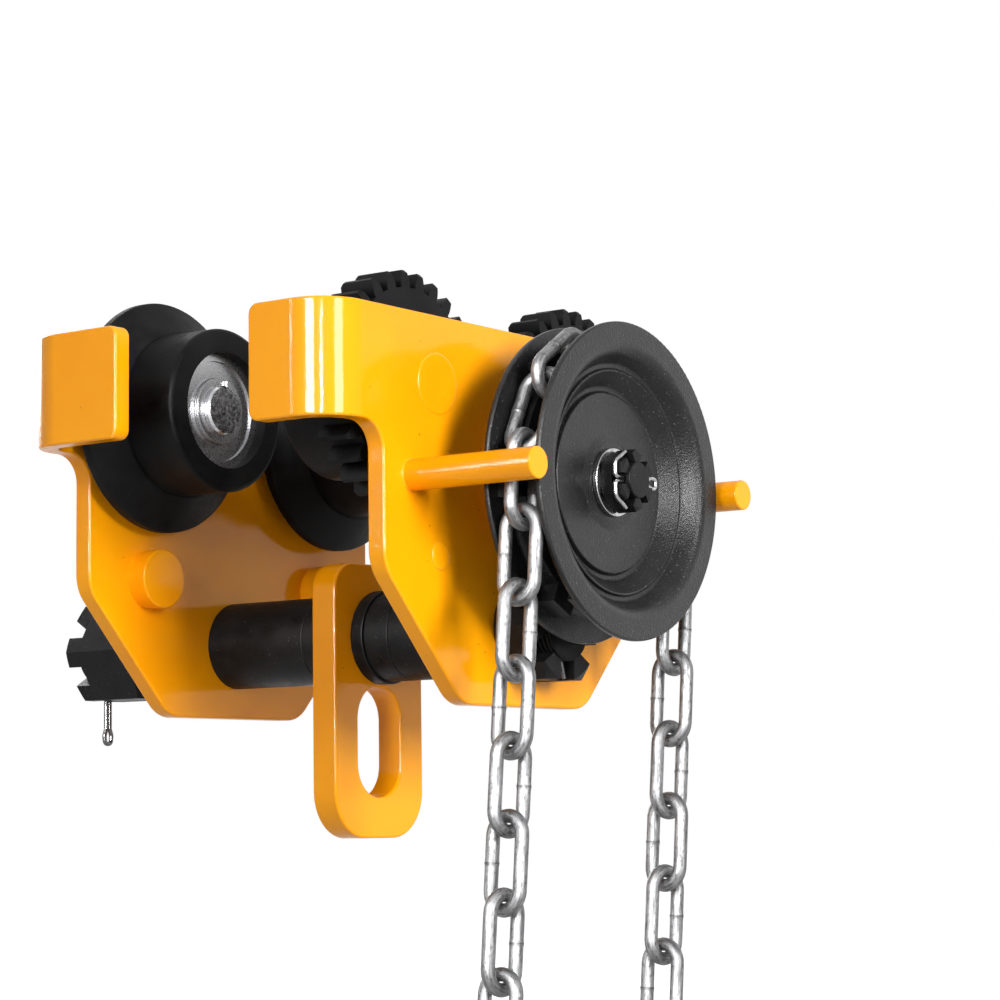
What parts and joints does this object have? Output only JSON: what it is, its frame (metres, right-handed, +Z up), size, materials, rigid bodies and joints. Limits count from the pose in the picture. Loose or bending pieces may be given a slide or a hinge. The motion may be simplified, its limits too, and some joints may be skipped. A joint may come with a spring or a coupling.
{
  "type": "geared beam trolley",
  "caption": "Hand-geared beam trolley: bent side plates carry rollers on a beam's lower flange, a chain wheel drives the toothed rollers, and a slotted plate hangs between to carry a hoist.",
  "frame": {"origin": "On the running surface of the rollers, midway between the two side plates and midway between the axles.", "axes": "+X along the beam, from the left end to the right end as seen from the hand-wheel side; -Y towards the hand wheel; +Z up."},
  "size_m": [0.2386, 0.2877, 0.369],
  "materials": {
    "yellow_paint": "glossy yellow-orange paint",
    "black_iron": "black satin paint",
    "black_steel": "black oxide",
    "axle_steel": "ground steel, riveted end painted with the plate",
    "bearing_steel": "ground bearing steel",
    "bush_bronze": "plain bronze",
    "wheel_iron": "dark grey, fine cast grain",
    "bright_zinc": "bright zinc plate"
  },
  "bodies": {
    "frame": {"axle_circlips": "bearing_steel", "chain_guide_left": "yellow_paint", "chain_guide_right": "yellow_paint", "drive_boss": "yellow_paint", "drive_bush": "bush_bronze", "front_anti_tilt_studs": "yellow_paint", "front_side_plate": "yellow_paint", "front_spacer_collar": "black_steel", "front_spacer_ring": "black_steel", "front_spacer_tube": "black_steel", "front_suspension_nut": "black_steel", "front_suspension_split_pin": "bright_zinc", "geared_roller_left_axle": "axle_steel", "geared_roller_left_bearing_inner_ring": "bearing_steel", "geared_roller_right_axle": "axle_steel", "geared_roller_right_bearing_inner_ring": "bearing_steel", "hand_chain": "bright_zinc", "pinion_thrust_washer": "bush_bronze", "plain_roller_left_axle": "axle_steel", "plain_roller_left_bearing_inner_ring": "bearing_steel", "plain_roller_right_axle": "axle_steel", "plain_roller_right_bearing_inner_ring": "bearing_steel", "rear_anti_tilt_studs": "yellow_paint", "rear_side_plate": "yellow_paint", "rear_spacer_ring": "black_steel", "rear_spacer_tube": "black_steel", "rear_spare_spacers": "black_steel", "rear_suspension_nut": "black_steel", "rear_suspension_split_pin": "bright_zinc", "suspension_shaft": "black_steel"},
    "drive": {"pinion_shaft": "black_steel", "hand_wheel": "wheel_iron", "hand_wheel_key": "black_steel", "hand_wheel_washer": "bright_zinc", "hand_wheel_nut": "black_steel", "hand_wheel_split_pin": "bright_zinc"},
    "geared_roller_left": {"geared_roller_left": "black_iron", "geared_roller_left_bearing_outer_ring": "bearing_steel", "geared_roller_left_bearing_balls": "bearing_steel", "geared_roller_left_bearing_cage": "bearing_steel", "geared_roller_left_bearing_shields": "bearing_steel"},
    "geared_roller_right": {"geared_roller_right": "black_iron", "geared_roller_right_bearing_outer_ring": "bearing_steel", "geared_roller_right_bearing_balls": "bearing_steel", "geared_roller_right_bearing_cage": "bearing_steel", "geared_roller_right_bearing_shields": "bearing_steel"},
    "plain_roller_left": {"plain_roller_left": "black_iron", "plain_roller_left_bearing_outer_ring": "bearing_steel", "plain_roller_left_bearing_balls": "bearing_steel", "plain_roller_left_bearing_cage": "bearing_steel", "plain_roller_left_bearing_shields": "bearing_steel"},
    "plain_roller_right": {"plain_roller_right": "black_iron", "plain_roller_right_bearing_outer_ring": "bearing_steel", "plain_roller_right_bearing_balls": "bearing_steel", "plain_roller_right_bearing_cage": "bearing_steel", "plain_roller_right_bearing_shields": "bearing_steel"},
    "load_plate": {"load_plate": "yellow_paint"}
  },
  "joints": [
    {"name": "drive_spin", "type": "hinge", "parent": "frame", "child": "drive", "pos_m": [0, 0, -0.00348], "axis": [0, 1, 0], "continuous": true, "deforming": ["hand_chain"]},
    {"name": "geared_roller_left_spin", "type": "hinge", "parent": "frame", "child": "geared_roller_left", "pos_m": [-0.055, 0, 0.033], "axis": [0, 1, 0], "continuous": true},
    {"name": "geared_roller_right_spin", "type": "hinge", "parent": "frame", "child": "geared_roller_right", "pos_m": [0.055, 0, 0.033], "axis": [0, 1, 0], "continuous": true},
    {"name": "plain_roller_left_spin", "type": "hinge", "parent": "frame", "child": "plain_roller_left", "pos_m": [-0.055, 0, 0.033], "axis": [0, 1, 0], "continuous": true},
    {"name": "plain_roller_right_spin", "type": "hinge", "parent": "frame", "child": "plain_roller_right", "pos_m": [0.055, 0, 0.033], "axis": [0, 1, 0], "continuous": true},
    {"name": "load_plate_swing", "type": "hinge", "parent": "frame", "child": "load_plate", "pos_m": [0, 0, -0.0578], "axis": [0, 1, 0], "range_deg": [-90, 90]}
  ],
  "couplings": [
    {"joint": "geared_roller_left_spin", "follows": "drive_spin", "ratio": -0.57143},
    {"joint": "geared_roller_right_spin", "follows": "drive_spin", "ratio": -0.57143}
  ]
}
